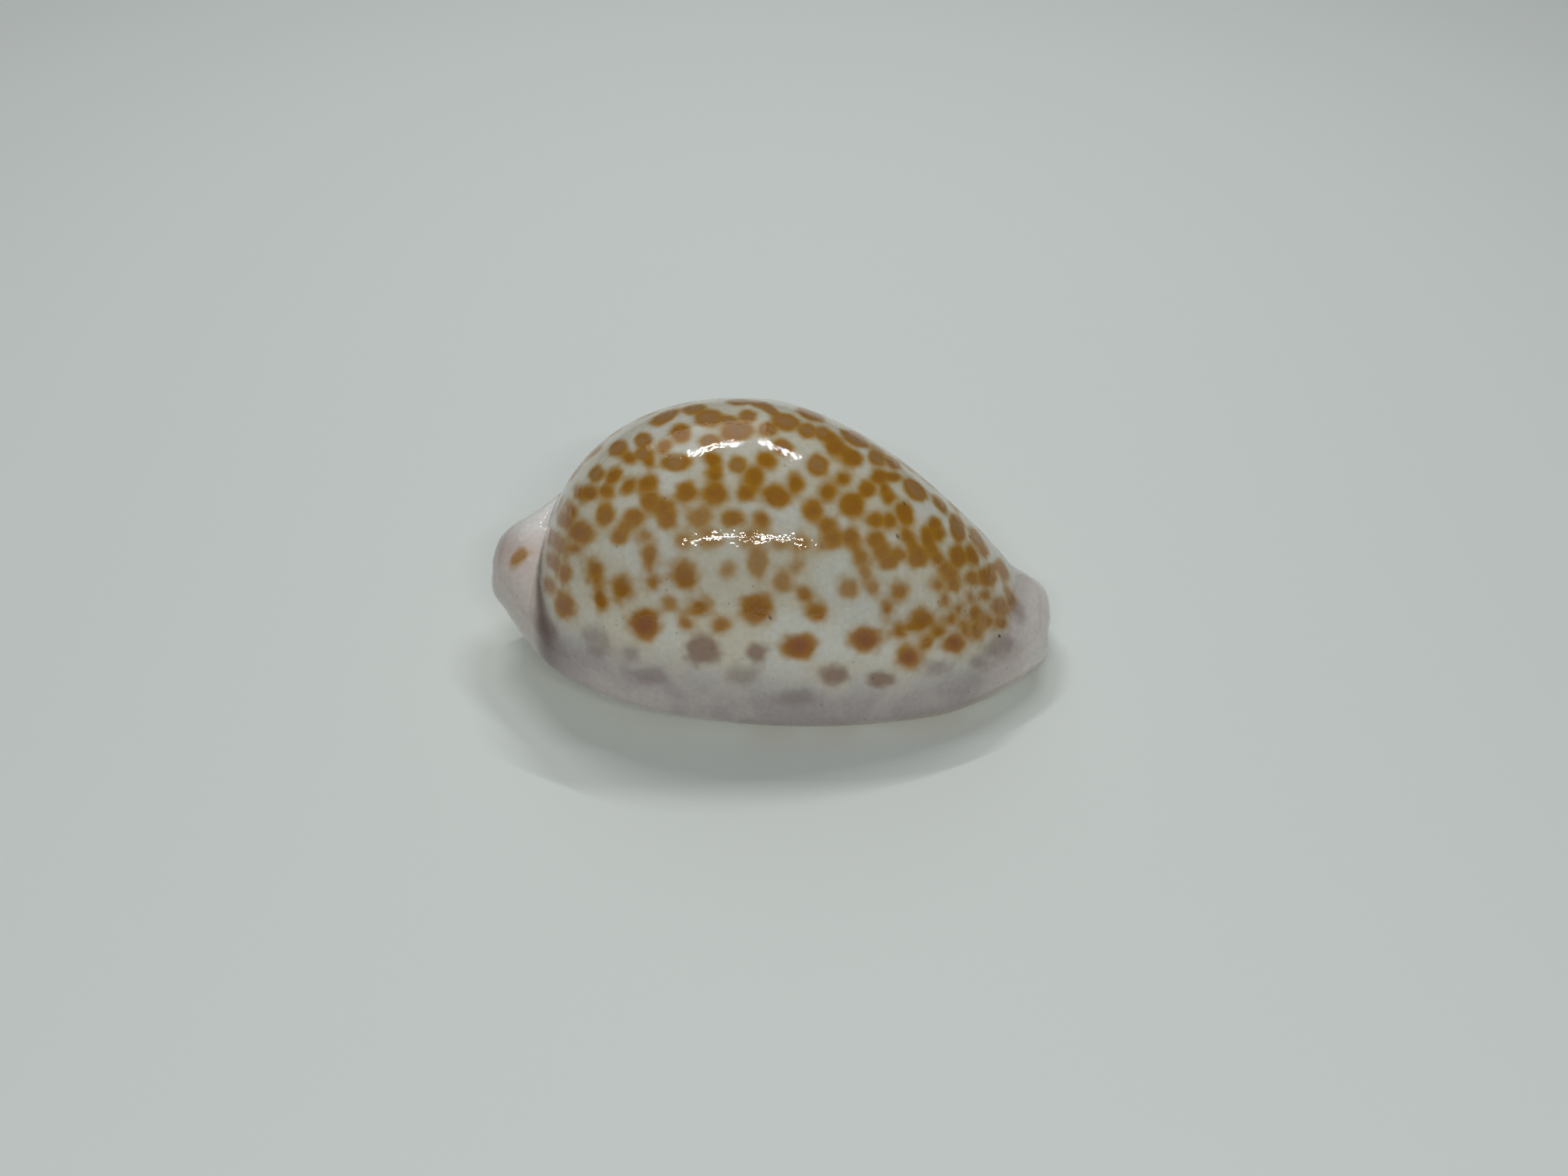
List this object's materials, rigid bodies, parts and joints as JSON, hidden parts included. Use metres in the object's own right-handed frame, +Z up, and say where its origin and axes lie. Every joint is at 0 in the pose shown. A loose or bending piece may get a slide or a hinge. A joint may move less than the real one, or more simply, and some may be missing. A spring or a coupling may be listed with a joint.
{
  "type": "spotted cowrie shell",
  "caption": "Small glossy egg-shaped seashell with orange-brown spots on a whitish back, blunt ends, and a narrow toothed slit along its pale base; display or collection piece.",
  "frame": {"origin": "centre of the shell's bounding box at the surface it rests on", "axes": "+X to the narrow front end, -Y to the outer lip, +Z up through the back"},
  "size_m": [0.015, 0.0088, 0.0071],
  "materials": {
    "enamel": "natural high-gloss enamel, whitish with orange-brown spots"
  },
  "bodies": {
    "root": {"shell": "enamel"}
  },
  "joints": []
}
